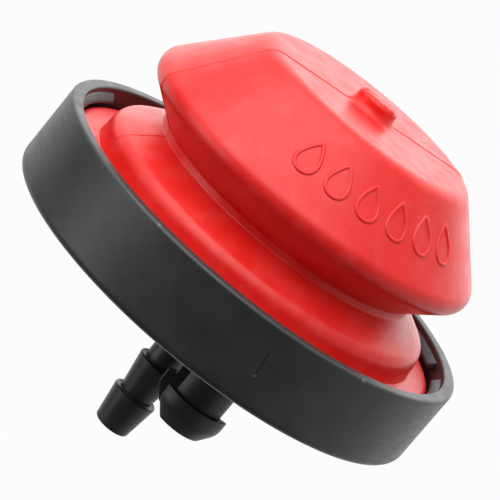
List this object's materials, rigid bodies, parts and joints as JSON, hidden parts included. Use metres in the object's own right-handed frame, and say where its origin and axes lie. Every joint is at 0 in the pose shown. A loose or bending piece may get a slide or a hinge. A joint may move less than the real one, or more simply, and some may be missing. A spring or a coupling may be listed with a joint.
{
  "type": "primer bulb",
  "caption": "Push-type primer bulb: a red rubber dome with a waist in a black round cup housing with a hose barb and a split snap post.",
  "frame": {"origin": "centre of the housing's flat back face", "axes": "+Z along the bulb's axis towards the push face, +X from the hose barb towards the split snap post"},
  "size_m": [0.054, 0.054, 0.0491],
  "materials": {
    "housing_plastic": "moulded black plastic, satin, with a worn grey sheen on the rim",
    "bulb_rubber": "moulded red rubber, semi-gloss, with a fine parting line"
  },
  "bodies": {
    "root": {"housing": "housing_plastic", "bulb": "bulb_rubber"}
  },
  "joints": []
}
